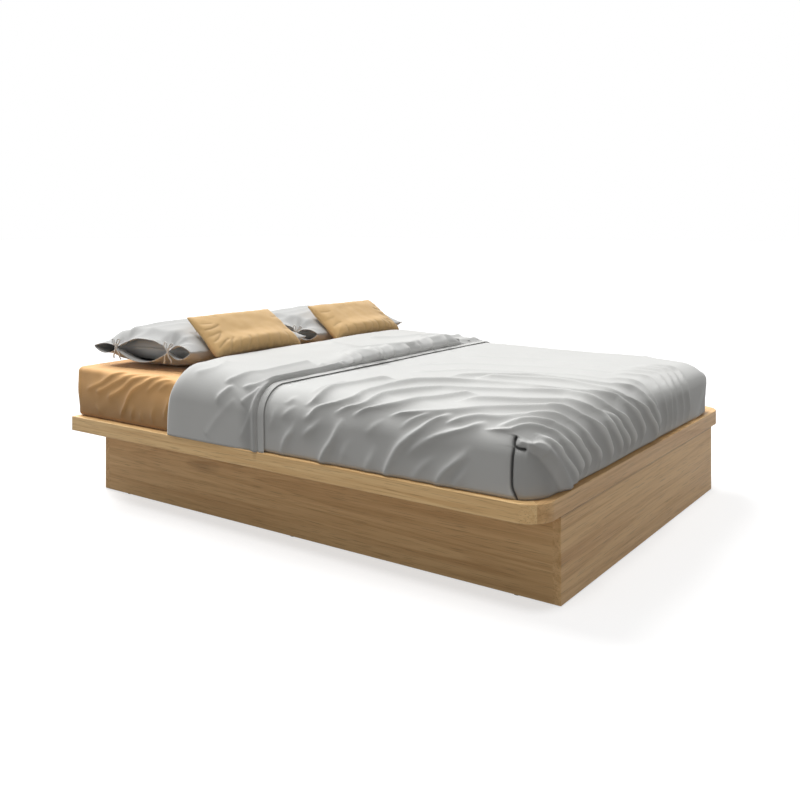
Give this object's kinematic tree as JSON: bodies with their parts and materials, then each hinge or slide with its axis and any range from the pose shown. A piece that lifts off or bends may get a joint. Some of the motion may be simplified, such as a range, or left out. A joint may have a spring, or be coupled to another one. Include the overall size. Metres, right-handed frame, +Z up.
{
  "type": "platform bed",
  "caption": "Low oak platform bed with an inset plinth, a wide border rounded at the foot, a slatted deck, and a mattress made up with sheet, turned-back duvet, tied pillows and cushions.",
  "frame": {"origin": "on the floor under the middle of the platform", "axes": "+Z up, +Y towards the head, +X towards the right-hand side of someone lying on their back; the foot is at -Y"},
  "size_m": [1.63, 2.03, 0.7015],
  "materials": {
    "oak": "oiled oak with long grain, satin",
    "pine": "planed pine, unfinished",
    "beech": "turned beech, unfinished",
    "zinc_steel": "zinc-plated steel",
    "glide_plastic": "matt black plastic",
    "ticking": "knitted mattress ticking, quilted",
    "ochre_cotton": "plain-woven cotton, ochre",
    "grey_cotton": "washed cotton, light warm grey",
    "insert_cotton": "plain cotton, dark grey",
    "tie_cord": "round cotton cord, light grey"
  },
  "bodies": {
    "frame": {"platform_side_rail_left": "oak", "platform_side_rail_right": "oak", "platform_foot_rail": "oak", "platform_head_rail": "oak", "plinth_side_panel_left": "oak", "plinth_side_panel_right": "oak", "plinth_foot_panel": "oak", "plinth_head_panel": "oak", "slat_01": "pine", "slat_02": "pine", "slat_03": "pine", "slat_04": "pine", "slat_05": "pine", "slat_06": "pine", "slat_07": "pine", "slat_08": "pine", "slat_09": "pine", "slat_10": "pine", "slat_11": "pine", "slat_12": "pine", "slat_13": "pine", "slat_14": "pine", "centre_beam": "pine", "cross_bearer_foot": "pine", "cross_bearer_head": "pine", "rail_batten_left": "pine", "rail_batten_right": "pine", "rail_batten_foot": "pine", "rail_batten_head": "pine", "corner_block_foot_left": "pine", "corner_block_foot_right": "pine", "corner_block_head_left": "pine", "corner_block_head_right": "pine", "mitre_tongues": "beech", "rail_dowels": "beech", "plinth_dowels": "beech", "beam_hanger_foot": "zinc_steel", "beam_hanger_head": "zinc_steel", "slat_screws": "zinc_steel", "rail_screws": "zinc_steel", "batten_screws": "zinc_steel", "corner_block_screws": "zinc_steel", "hanger_screws": "zinc_steel", "floor_glides": "glide_plastic"},
    "mattress": {"mattress": "ticking", "fitted_sheet": "ochre_cotton", "duvet": "grey_cotton"},
    "pillow_left": {"pillow_insert_left": "insert_cotton", "pillowcase_left": "grey_cotton", "pillow_ties_left": "tie_cord"},
    "cushion_left": {"cushion_left": "ochre_cotton"},
    "pillow_right": {"pillow_insert_right": "insert_cotton", "pillowcase_right": "grey_cotton", "pillow_ties_right": "tie_cord"},
    "cushion_right": {"cushion_right": "ochre_cotton"}
  },
  "joints": [
    {"name": "mattress_lift", "type": "slide", "parent": "frame", "child": "mattress", "axis": [0, 0, 1], "range_m": [0, 0.3]},
    {"name": "pillow_left_lift", "type": "slide", "parent": "mattress", "child": "pillow_left", "axis": [0, 0, 1], "range_m": [0, 0.3]},
    {"name": "cushion_left_lift", "type": "slide", "parent": "pillow_left", "child": "cushion_left", "axis": [0, 0, 1], "range_m": [0, 0.3]},
    {"name": "pillow_right_lift", "type": "slide", "parent": "mattress", "child": "pillow_right", "axis": [0, 0, 1], "range_m": [0, 0.3]},
    {"name": "cushion_right_lift", "type": "slide", "parent": "pillow_right", "child": "cushion_right", "axis": [0, 0, 1], "range_m": [0, 0.3]}
  ]
}
